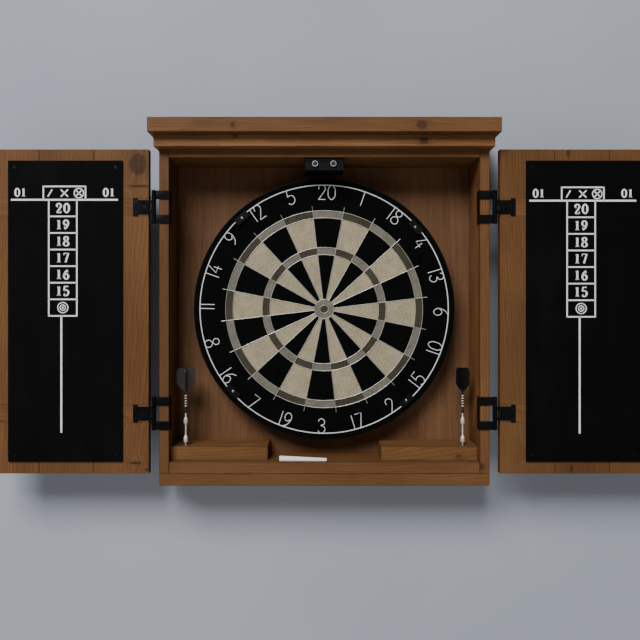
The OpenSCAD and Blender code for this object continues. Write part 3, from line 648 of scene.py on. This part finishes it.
PINE_PLAN = {
    # node: (grain direction, seed, knots, tone, slope, depth)
    "cornice_upper": ("x", 1.0, [(-0.1482, 0.2976, 0.004, 0.005), (0.1576, 0.298, 0.01, 0.008)],
                      1.12, 0.05, 0.05),
    # the lower cornice's tone of 1.75 is painted light: its stain is lifted above the upper slab's to offset
    # the shade cast by that slab's overhang
    "cornice_lower": ("x", 2.1, [(-0.146, 0.284, 0.003, 0.003), (0.1633, 0.276, 0.008, 0.006)],
                      1.75, 0.04, 0.07),
    # the top board's tone of 1.15 is painted light: its stain is lifted so that its shaded underside, the
    # cabinet's ceiling, reads lighter
    "top_board": ("x", 3.4, [], 1.15, 0.05, 0.04),
    "bottom_board": ("x", 4.3, [], 1.0, 0.05, 0.06),
    "base_board": ("x", 5.2, [], 1.02, 0.045, 0.05),
    "left_side_panel": ("z", 6.6, [], 0.85, 0.05, 0.06),
    "right_side_panel": ("z", 7.5, [(-0.262, 0.262, 0.006, 0.005)], 1.16, 0.05, 0.05),
    "left_dart_rest": ("x", 8.7, [], 1.16, 0.05, 0.04),
    "right_dart_rest": ("x", 9.9, [(0.228, -0.248, 0.006, 0.003)], 1.22, 0.05, 0.05),
}


def pine_piece(node, ease, along, seed, *look, seam=0.0015, keep=None, name=None):
    """An eased board in stained pine of its own; look is its knots, tone, slope and depth."""
    label = "pine_" + (name or node)
    eased(node, ease, lambda low, high: stained_pine(label, along, seed, low, high, *look, seam=seam),
          keep=keep, name=name)


def build_boards():
    for node, look in PINE_PLAN.items():
        pine_piece(node, 0.9 * MM, *look)


DOOR_KNOTS = {
    ("left", 0): [(0.2415, -0.31, 0.0205, 0.016), (0.205, -0.309, 0.0022, 0.011),
                  (-0.256, -0.315, 0.0022, 0.011), (-0.267, -0.296, 0.003, 0.003)],
    ("right", 1): [(0.26, 0.406, 0.006, 0.0035), (-0.266, 0.411, 0.007, 0.0035)],
}


def build_doors():
    """Each door's three planks, counted from its hinge side, and its two battens."""
    for side, sign in (("left", -1), ("right", 1)):
        node = side + "_door_planks"
        low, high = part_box(node)
        near, far = (high.x, low.x) if sign < 0 else (low.x, high.x)
        planks = 3
        for i in range(planks):
            a, b = sorted((near + (far - near) * i / planks, near + (far - near) * (i + 1) / planks))
            name = f"{side}_door_plank_{i + 1}"
            seed = 11.3 + 2.3 * i + (7.7 if sign > 0 else 0.0)
            knots = DOOR_KNOTS.get((side, i), ())
            tone = (1.0, 0.94, 1.06)[i]
            pine_piece(node, 0.35 * MM, "z", seed, knots, tone, seam=0.0009, keep=(0, a, b), name=name)
        node = side + "_door_battens"
        low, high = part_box(node)
        middle = (low.z + high.z) / 2
        for label, a, b in (("lower", low.z, middle), ("upper", middle, high.z)):
            name = f"{side}_{label}_batten"
            seed = 21.1 + sign + (3.0 if label == "upper" else 0.0)
            pine_piece(node, 0.5 * MM, "x", seed, (), 1.1, seam=0.0014, keep=(2, a, b), name=name)


# ---------------------------------------------------------------- dart board

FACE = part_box("sisal_face")[0].y
SPIDER_LOW, SPIDER_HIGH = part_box("spider")
DOUBLE, TREBLE, RING_BAND, BULL, INNER_BULL = 0.17, 0.1065, 0.0125, 0.0165, 0.007
SPIDER_TURN = math.radians(2.3)
CLIP_TURN = math.radians(3.0)
NUMBER_TURN = math.radians(1.3)
BOARD_ORDER = "20 1 18 4 13 6 10 15 2 17 3 19 7 16 8 11 14 9 12 5".split()
UPSIDE = {"10", "15", "2", "17", "3", "19", "7", "16", "8"}
LAYER = 0.0025  # depth of the inlaid blocks
STEP = math.pi / 10  # one of the twenty segments
SPIDER_WIRE_R, RING_WIRE_R, NUMERAL_WIRE_R = 0.00062, 0.00095, 0.0007
CLIP_R = 0.211


def sector(inner, outer, start, stop, top, bottom):
    """A closed block of board between two radii and two angles; its front face is a fine grid, so that
    the sisal's shallow unevenness, two slow sine waves, is in the mesh itself."""
    rows = max(2, int((outer - inner) / 0.006) + 1)
    columns = max(3, int((stop - start) * outer / 0.007) + 1)
    r, a = np.meshgrid(np.linspace(inner, outer, rows), np.linspace(start, stop, columns), indexing="ij")
    x, z = r * np.sin(a), r * np.cos(a)
    swell = 0.00008 * (np.sin(x * 310.0) * np.cos(z * 270.0) + 0.6 * np.sin(x * 830.0 + z * 510.0))
    front = np.stack([x, top + swell, z], -1).reshape(-1, 3)
    back = np.stack([x, bottom + 0 * x, z], -1).reshape(-1, 3)
    faces = grid_faces(rows, columns)
    index = np.arange(rows * columns).reshape(rows, columns)
    rim = np.concatenate([index[0], index[1:, -1], index[-1, -2::-1], index[-2:0:-1, 0]])
    walls = np.stack([rim, np.roll(rim, -1), np.roll(rim, -1) + rows * columns, rim + rows * columns], -1)
    return np.concatenate([front, back]), np.concatenate([faces, faces[:, ::-1] + rows * columns, walls])


def build_face():
    """The playing face as inlaid blocks of dyed fibre, over a black disc."""
    sectors = {"black_sisal": [], "cream_sisal": [], "light_band_sisal": [], "dark_band_sisal": []}
    bottom = FACE + LAYER
    for i in range(20):
        start = SPIDER_TURN + (i - 0.5) * STEP
        black = i % 2 == 0
        single = "black_sisal" if black else "cream_sisal"
        band = "light_band_sisal" if black else "dark_band_sisal"
        for inner, outer in ((BULL, TREBLE - RING_BAND), (TREBLE, DOUBLE - RING_BAND)):
            sectors[single].append(sector(inner, outer, start, start + STEP, FACE, bottom))
        for outer in (TREBLE, DOUBLE):
            sectors[band].append(sector(outer - RING_BAND, outer, start, start + STEP, FACE, bottom))
    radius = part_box("sisal_face")[1].x
    for name, parts in sectors.items():
        replaced = ["sisal_face"] if name == "black_sisal" else ()
        add_piece(name.replace("_sisal", "_segments"), joined(parts), "dartboard", name, replaced)
    for name, inner, outer, finish in (("board_surround", DOUBLE, radius, "black_sisal"),
                                       ("outer_bull", INNER_BULL, BULL, "light_band_sisal")):
        profile = [(inner, bottom), (inner, FACE), (outer, FACE), (outer, bottom), (inner, bottom)]
        ring = lathe(profile, (0, 0, 0), 128, "y")
        add_piece(name, ring, "dartboard", finish)
    disc = lathe([(0, FACE), (INNER_BULL, FACE), (INNER_BULL, bottom), (0, bottom)], (0, 0, 0), 64, "y")
    add_piece("inner_bull", disc, "dartboard", "dark_band_sisal")
    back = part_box("sisal_face")[1].y
    profile = [(0, bottom), (radius - 0.0005, bottom), (radius, bottom + 0.0005), (radius, back), (0, back)]
    body = lathe(profile, (0, 0, 0), 128, "y")
    add_piece("sisal_core", body, "dartboard", "black_sisal")


def build_wires():
    """The spider: four rings and the bull's ring, and a straight wire beside each segment."""
    wire = SPIDER_WIRE_R
    y = FACE - wire * 0.75
    parts = [flat_wire(circle_path(r), wire, y, True)
             for r in (DOUBLE, DOUBLE - RING_BAND, TREBLE, TREBLE - RING_BAND)]
    parts.append(flat_wire(circle_path(BULL, 64), wire, y, True))
    for i in range(20):
        angle = SPIDER_TURN + (i + 0.5) * STEP
        out = np.array([math.sin(angle), math.cos(angle)])
        reach = np.linspace(BULL, SPIDER_HIGH.x * 1.006, 12)[:, None]
        parts.append(flat_wire(out * reach, wire * 0.9, y))
    add_piece("spider_wires", joined(parts), "dartboard", "spider_wire", ["spider"])
    cup = flat_wire(circle_path(INNER_BULL, 48), wire * 0.9, y, True)
    add_piece("bull_wire", cup, "dartboard", "spider_wire", ["bull_ring"])


NUMBER_R = 0.214
NUMBER_HEIGHT = 0.025


def build_number_ring():
    """A wire circle with each number bent in wire and welded on inside it."""
    low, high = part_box("number_ring")
    y = (low.y + high.y) / 2
    parts = [flat_wire(circle_path(NUMBER_R, 200), RING_WIRE_R, y, True, sides=10)]
    for i, number in enumerate(BOARD_ORDER):
        angle = NUMBER_TURN + i * STEP
        flip = -1.0 if number in UPSIDE else 1.0
        radial = np.array([math.sin(angle), math.cos(angle)])
        tangent = np.array([math.cos(angle), -math.sin(angle)])
        middle = radial * (NUMBER_R - NUMBER_HEIGHT / 2)
        for path, closed in digit_paths(number, NUMBER_HEIGHT, 0.12, flip):
            placed = middle + flip * (path[:, :1] * tangent + path[:, 1:] * radial)
            parts.append(flat_wire(placed, NUMERAL_WIRE_R, y, closed))
    add_piece("number_wires", joined(parts), "dartboard", "ring_wire", ["number_ring"])


def build_clips():
    """The four clips that hold the number ring, each with a domed rivet."""
    eased("ring_clips", 0.6 * MM, FINISH["clip_black"])
    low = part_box("ring_clips")[0].y
    parts = []
    for quarter in range(4):
        angle = math.radians(45 + 90 * quarter) + CLIP_TURN
        centre = (CLIP_R * math.sin(angle), low - 0.0004, CLIP_R * math.cos(angle))
        dome = [(0.0, 0.0), (0.001, 0.00005), (0.0019, 0.0003), (0.0023, 0.0007), (0.0023, 0.0014)]
        parts.append(lathe(dome, centre, 20, "y"))
    add_piece("clip_rivets", joined(parts), "dartboard", "bright_steel")


# ---------------------------------------------------------------- printed tables

def ribbon(path, width, y, closed=False, depth=0.00018):
    """A flat printed stroke: the path widened in its plane to width, as a thin closed strip."""
    path = np.asarray(path, float)
    ahead = headings(path, closed)
    side = np.stack([-ahead[:, 1], ahead[:, 0]], -1) * np.reshape(width, (-1, 1)) / 2
    corners = [(path + side, y), (path + side, y - depth), (path - side, y - depth), (path - side, y)]
    points = np.stack([np.stack([p[:, 0], np.full(len(p), d), p[:, 1]], -1) for p, d in corners], 1)
    return points.reshape(-1, 3), tube_faces(len(path), 4, closed)


def bar(x0, z0, x1, z1, width, y):
    """One straight printed stroke."""
    return ribbon([(x0, z0), (x1, z1)], width, y)


# Slab feet for the printed digits: (x0, z0, x1, z1) in the digit's own box
SLABS = {
    "1": [(0.1, 0.04, 0.5, 0.04), (0.12, 0.9, 0.3, 0.94)],
    "2": [(0.53, 0.0, 0.53, 0.2), (0.06, 0.64, 0.2, 0.64)],
    "5": [(0.48, 0.92, 0.48, 1.1), (0.04, 0.18, 0.18, 0.18)],
    "6": [(0.4, 0.78, 0.54, 0.78)],
    "7": [(0.06, 0.78, 0.06, 1.02)],
    "9": [(0.06, 0.22, 0.2, 0.22)],
}


def printed_number(text, centre, height, y):
    """A number in thick slab-footed strokes, wider where a stroke runs upright."""
    parts = []
    gap, one = 0.3, 0.42
    for path, closed in digit_paths(text, height, gap, one=one):
        travel = np.abs(np.gradient(path[:, 1]))
        across = np.abs(np.gradient(path[:, 0]))
        upright = travel / np.maximum(travel + across, 1e-9)
        width = height * (0.11 + 0.12 * upright)
        parts.append(ribbon(path + centre, width, y, closed))
    for digit, middle in digit_places(text, gap, one):
        for x0, z0, x1, z1 in SLABS.get(digit, ()):
            ends = np.array([(x0 - 0.3, z0 - 0.5), (x1 - 0.3, z1 - 0.5)]) + (middle, 0)
            parts.append(ribbon(ends * height + centre, 0.09 * height, y))
    return parts


def build_prints():
    """White scoring tables: a headed column of numbers on a stem, with a pair of zero-one column heads."""
    for side, sign in (("left", -1), ("right", 1)):
        low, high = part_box(side + "_chalkboard")
        y = low.y
        middle = (low.x + high.x) / 2 - 0.0012
        head = low.z + (0.435 if sign < 0 else 0.4335)
        row, rows = 0.02755, 7
        line, thin = 0.003, 0.0024
        column = middle - 0.0027
        half, box_half, box_h = 0.0233, 0.035, 0.0222
        foot = head - row * rows
        parts = [bar(middle - 0.0888, head, middle + 0.0888, head, line, y)]
        for x in (middle - box_half, middle + box_half):
            parts.append(bar(x, head, x, head + box_h + thin / 2, thin, y))
        parts.append(bar(middle - box_half, head + box_h, middle + box_half, head + box_h, thin, y))
        for x in (column - half, column + half):
            parts.append(bar(x, head, x, foot - thin / 2, thin, y))
        for i in range(1, rows + 1):
            z = head - i * row
            parts.append(bar(column - half, z, column + half, z, thin, y))
        parts.append(bar(column - 0.0025, foot, column - 0.0025, foot - 0.194, line, y))
        for i, number in enumerate(("20", "19", "18", "17", "16", "15")):
            parts += printed_number(number, (column, head - (i + 0.5) * row), 0.0152, y)
        for x in (middle - 0.0735, middle + 0.0735):
            parts += printed_number("01", (x, head + 0.0122), 0.0133, y)
        target = (column, head - 6.5 * row)
        for r, w in ((0.0085, 0.0016), (0.0045, 0.0016), (0.0009, 0.0018)):
            parts.append(ribbon(circle_path(r, 40, target), w, y, True))
        sign_z = head + box_h / 2
        reach, apart, stroke = 0.006, 0.024, 0.0022
        parts.append(bar(middle - apart - reach * 0.6, sign_z - reach, middle - apart + reach * 0.6,
                         sign_z + reach, stroke, y))
        for x, size in ((middle, reach), (middle + apart, reach * 0.72)):
            parts.append(bar(x - size, sign_z - size, x + size, sign_z + size, stroke, y))
            parts.append(bar(x - size, sign_z + size, x + size, sign_z - size, stroke, y))
        parts.append(ribbon(circle_path(0.0078, 40, (middle + apart, sign_z)), 0.0018, y, True))
        add_piece(side + "_scoring_table", joined(parts), side + "_door", "white_print", smooth=False)


# ---------------------------------------------------------------- darts and chalk

def build_darts():
    """Each dart turned on a lathe: a ringed barrel, a shaft with bright collars and a crossed flight."""
    for side in ("left", "right"):
        body = side + "_dart"
        low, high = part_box(side + "_dart_barrel")
        x, y = (low.x + high.x) / 2, (low.y + high.y) / 2
        r, length = (high.x - low.x) / 2, high.z - low.z
        outline = [(0.3, 0.0), (0.42, 0.01), (0.62, 0.04), (0.92, 0.08), (0.96, 0.11), (0.96, 0.2),
                   (0.8, 0.235), (0.42, 0.28), (0.36, 0.3), (0.35, 0.45), (0.36, 0.6), (0.42, 0.625),
                   (0.8, 0.665), (0.96, 0.7), (0.96, 0.78), (0.8, 0.82), (0.42, 0.865), (0.37, 0.88),
                   (0.37, 0.99), (0.33, 1.0)]
        at = np.linspace(0.0, 1.0, 260)
        radius = np.interp(at, [p[1] for p in outline], [p[0] for p in outline]) * r
        gripped = ((at > 0.11) & (at < 0.2)) | ((at > 0.7) & (at < 0.78))
        radius = radius - gripped * r * 0.1 * (np.sin(at * length / 0.0011 * 2 * math.pi) > 0.0)
        profile = np.stack([np.concatenate([[0], radius, [0]]),
                            low.z + length * np.concatenate([[0], at, [1]])], -1)
        barrel = lathe(profile, (x, y, 0), 32)
        add_piece(side + "_barrel_turned", barrel, body, "dart_steel", [side + "_dart_barrel"])
        low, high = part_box(side + "_dart_shaft")
        length = high.z - low.z
        shape = [(0.0, 0.0), (1.9, 0.0), (2.2, 0.02), (2.2, 0.14), (1.6, 0.2), (1.6, 0.95), (1.9, 0.97),
                 (1.9, 1.0), (0.0, 1.0)]
        profile = [(a * MM, low.z + b * length) for a, b in shape]
        shaft = lathe(profile, (x, y, 0), 28)
        add_piece(side + "_shaft_moulded", shaft, body, "shaft_black", [side + "_dart_shaft"])
        collars = []
        for k in range(5):
            z = low.z + length * (0.33 + 0.122 * k)
            ring = [(1.5, -1.1), (2.1, -0.8), (2.35, 0.0), (2.1, 0.8), (1.5, 1.1)]
            collars.append(lathe([(a * MM, z + b * MM) for a, b in ring], (x, y, 0), 24))
        add_piece(side + "_shaft_collars", joined(collars), body, "dart_steel")
        slot = "flight_black" if side == "right" else "flight_grey"
        NODES[side + "_dart_flight"].data.materials.clear()
        NODES[side + "_dart_flight"].data.materials.append(FINISH[slot])


def build_chalk():
    """A tapered stick with crumbled ends, laid along X."""
    low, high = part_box("chalk")
    thick = (high.z - low.z) / 2
    thin = thick * 0.58
    y = (low.y + high.y) / 2
    t = np.concatenate([[0.0, 0.0, 0.004, 0.012], np.linspace(0.03, 0.97, 24), [0.988, 0.996, 1.0, 1.0]])
    ease = np.array([0.0, 0.8, 0.94, 0.985] + [1.0] * 24 + [0.985, 0.93, 0.78, 0.0])
    turn = np.arange(32) * 2 * math.pi / 32
    radius = ((thick + (thin - thick) * t) * ease)[:, None]
    worn = 1.0 - 0.02 * (1 + np.sin(t[:, None] * 37.0 + 3 * turn) * np.cos(t[:, None] * 23.0 - 2 * turn))
    centre = low.z + thick + (thin - thick) * t[:, None]
    length = high.x - low.x
    points = np.stack([low.x + length * t[:, None] + 0 * turn, y + radius * worn * np.cos(turn),
                       centre + radius * worn * np.sin(turn)], -1).reshape(-1, 3)
    faces = grid_faces(len(t), 32, wrap_columns=True)
    add_piece("chalk_stick", (points, faces), "chalk_stick", "chalk_white", ["chalk"])


# ---------------------------------------------------------------- metal and other pieces

def build_hardware():
    for side in ("left", "right"):
        for part, ease, finish in (
                ("_frame_leaves", 0.45, "black_iron"), ("_door_leaves", 0.45, "black_iron"),
                ("_hinge_pins", 0.35, "black_iron"), ("_chalkboard", 0.5, "slate_black"),
                ("_strike_plate", 0.3, "bright_steel"), ("_catch_plunger", 0.4, "bright_steel")):
            eased(side + part, ease * MM, FINISH[finish])
        low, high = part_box(side + "_catch_plunger")
        x, z = (low.x + high.x) / 2, (low.z + high.z) / 2
        r = (high.x - low.x) / 2
        face = [(0.0, low.y - 0.05 * MM), (r - 1.2 * MM, low.y), (r - 0.9 * MM, low.y + 0.6 * MM)]
        add_piece(side + "_magnet", lathe(face, (x, 0, z), 28, "y"), side + "_plunger", "rubber_pad")
    eased("catch_housing", 0.9 * MM, FINISH["catch_plastic"], segments=3)
    eased("hanging_bracket", 0.3 * MM, FINISH["bright_steel"])
    eased("steel_band", 0.4 * MM, FINISH["band_steel"])
    eased("board_backing", 0.5 * MM, FINISH["fibreboard"])
    eased("rear_spacers", 0.5 * MM, FINISH["rubber_pad"])


def finish_frame_nodes():
    """Every frame node that still shows gets the procedural finish of its slot."""
    slots = {s["node"]: s["material_slot"] for s in frame["record"]["subparts"]}
    for node, piece in NODES.items():
        if piece.hide_render:
            continue
        piece.data.materials.clear()
        piece.data.materials.append(FINISH[slots[node]])


# ---------------------------------------------------------------- studio

WALL_Y, FLOOR_Z, WALL_TOP, ROOM = 0.0005, -1.35, 2.6, 4.0
TOUCHING = 0.016  # how near the wall has to lie to a piece to be seen through, in a view from behind


def matt_paint(name, roughness, fine, coarse, dark, light):
    """Plain paint with a slow change of tone."""
    material, tree, surface, position = new_material(name, Roughness=roughness, Specular_IOR_Level=0.2)
    grit = use_group(tree, SPECKLE, {"Position": position, "Fine Scale": fine, "Coarse Scale": coarse})
    tree.links.new(mix(tree, span(tree, grit["Coarse"], 0.3, 0.7), dark, light), surface.inputs["Base Color"])
    return material, tree, surface, grit


def build_studio():
    """A pale wall behind, which is clear from its far side, and a pale floor below."""
    material, tree, surface, grit = matt_paint("painted_wall", 0.85, 260.0, 1.2, (0.363, 0.396, 0.458),
                                               (0.407, 0.437, 0.496))
    bump(tree, surface, grit["Fine"], 0.05, 0.0004)
    output = next(n for n in tree.nodes if n.type == "OUTPUT_MATERIAL")
    clear = tree.nodes.new("ShaderNodeBsdfTransparent")
    behind = tree.nodes.new("ShaderNodeNewGeometry").outputs["Backfacing"]
    travelled = tree.nodes.new("ShaderNodeLightPath").outputs["Ray Length"]
    touching = maths(tree, "LESS_THAN", travelled, TOUCHING)
    sides = place(tree, "ShaderNodeMixShader", {0: maths(tree, "MAXIMUM", behind, touching)})
    tree.links.new(surface.outputs[0], sides.inputs[1])
    tree.links.new(clear.outputs[0], sides.inputs[2])
    tree.links.new(sides.outputs[0], output.inputs["Surface"])
    wall = add_plane("wall", [(-ROOM, WALL_Y, FLOOR_Z), (ROOM, WALL_Y, FLOOR_Z), (ROOM, WALL_Y, WALL_TOP),
                              (-ROOM, WALL_Y, WALL_TOP)], material)
    pale = matt_paint("pale_floor", 0.9, 200.0, 2.0, (0.5, 0.51, 0.53), (0.54, 0.55, 0.57))[0]
    floor = add_plane("floor", [(-ROOM, -ROOM, FLOOR_Z), (ROOM, -ROOM, FLOOR_Z), (ROOM, ROOM, FLOOR_Z),
                                (-ROOM, ROOM, FLOOR_Z)], pale)


def add_plane(name, corners, material):
    """One flat face."""
    mesh = bpy.data.meshes.new(name)
    mesh.from_pydata(corners, [], [(0, 1, 2, 3)])
    mesh.materials.append(material)
    return put(name, mesh)


def add_lamp(name, place_at, aim, size, energy, colour=(1, 1, 1)):
    """A soft rectangular lamp that faces aim."""
    lamp = bpy.data.lights.new(name, "AREA")
    lamp.shape = "RECTANGLE"
    lamp.size, lamp.size_y = size
    lamp.energy = energy
    lamp.color = colour
    piece = put(name, lamp)
    piece.location = place_at
    piece.rotation_euler = (Vector(aim) - Vector(place_at)).to_track_quat("-Z", "Y").to_euler()


def build_light():
    """A large lamp above and to the left, weak fills from below and behind, and a warm room."""
    add_lamp("overhead_softbox", (-1.75, -4.5, 3.75), (0, 0, -0.15), (3.0, 2.6), 440.0, (0.99, 0.99, 1.0))
    add_lamp("low_fill", (0.45, -3.2, -0.3), (0, 0, 0.05), (1.4, 1.1), 4.6, (1.0, 0.91, 0.8))
    add_lamp("rear_fill", (0.8, 3.0, 1.0), (0, 0, 0), (2.2, 1.6), 70.0)
    world = bpy.data.worlds.new("studio_air")
    world.use_nodes = True
    background = next(n for n in world.node_tree.nodes if n.type == "BACKGROUND")
    background.inputs["Color"].default_value = (0.92, 0.84, 0.74, 1.0)
    background.inputs["Strength"].default_value = 0.1
    bpy.context.scene.world = world


def build_camera():
    """Level with the bull and a little left of it, 1.15 m from the cabinet's front edges."""
    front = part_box("left_side_panel")[0].y
    camera = bpy.data.cameras.new("camera")
    camera.lens = 38.85
    camera.sensor_width = 36.0
    camera.shift_y = -0.0169
    camera.clip_start = 0.01
    piece = put("camera", camera)
    piece.location = (-0.0072, front - 1.15, 0.0)
    piece.rotation_euler = (math.pi / 2, 0, 0)
    bpy.context.scene.camera = piece


build_boards()
build_doors()
build_face()
build_wires()
build_number_ring()
build_clips()
build_prints()
build_darts()
build_chalk()
build_hardware()
finish_frame_nodes()
build_studio()
build_light()
build_camera()

bpy.context.view_layer.update()
